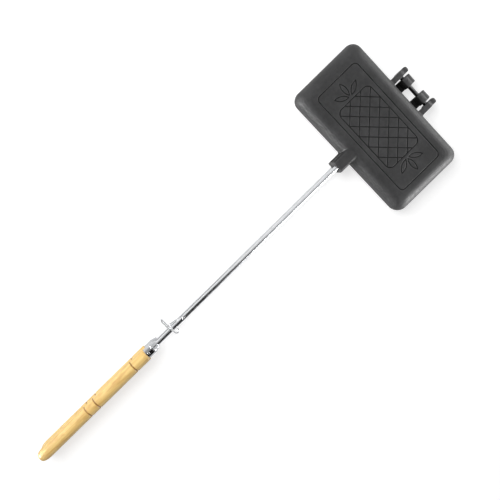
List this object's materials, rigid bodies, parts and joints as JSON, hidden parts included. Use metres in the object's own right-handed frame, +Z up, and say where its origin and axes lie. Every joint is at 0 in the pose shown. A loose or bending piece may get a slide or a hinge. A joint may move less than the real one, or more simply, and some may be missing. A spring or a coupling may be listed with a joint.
{
  "type": "pie iron",
  "caption": "Long-handled double pie iron: two hinged rectangular cast-iron shells on steel rods with ferruled wooden handles and a swinging wire keeper.",
  "frame": {"origin": "centre of the footprint, on the surface that the closed iron rests on", "axes": "+X runs from the handles to the head, +Y across the head, +Z up out of the upper shell's face"},
  "size_m": [0.711, 0.21, 0.04],
  "materials": {
    "cast_iron": "fine sand-cast texture, matt seasoned charcoal",
    "rod_steel": "bright plated steel rod",
    "pin_steel": "dull dark steel",
    "ferrule_chrome": "bright plated sheet metal",
    "handle_wood": "pale turned hardwood, satin varnish, darker grooves",
    "wire_steel": "bright plated spring wire"
  },
  "bodies": {
    "lower_half": {"lower_shell": "cast_iron", "lower_rod": "rod_steel", "lower_socket_pin": "pin_steel", "lower_ferrule": "ferrule_chrome", "lower_ferrule_pin": "ferrule_chrome", "lower_handle": "handle_wood", "latch_rivet": "ferrule_chrome"},
    "upper_half": {"upper_shell": "cast_iron", "upper_rod": "rod_steel", "upper_socket_pin": "pin_steel", "upper_ferrule": "ferrule_chrome", "upper_ferrule_pin": "ferrule_chrome", "upper_handle": "handle_wood", "hinge_pin": "pin_steel"},
    "latch": {"latch_wire": "wire_steel"}
  },
  "joints": [
    {"name": "head_open", "type": "hinge", "parent": "lower_half", "child": "upper_half", "pos_m": [0.3411, 0, 0.02], "axis": [0, 1, 0], "range_deg": [0, 180]},
    {"name": "latch_swing", "type": "hinge", "parent": "lower_half", "child": "latch", "pos_m": [-0.0998, 0, 0.013], "axis": [0, 0, -1], "range_deg": [0, 100]}
  ]
}
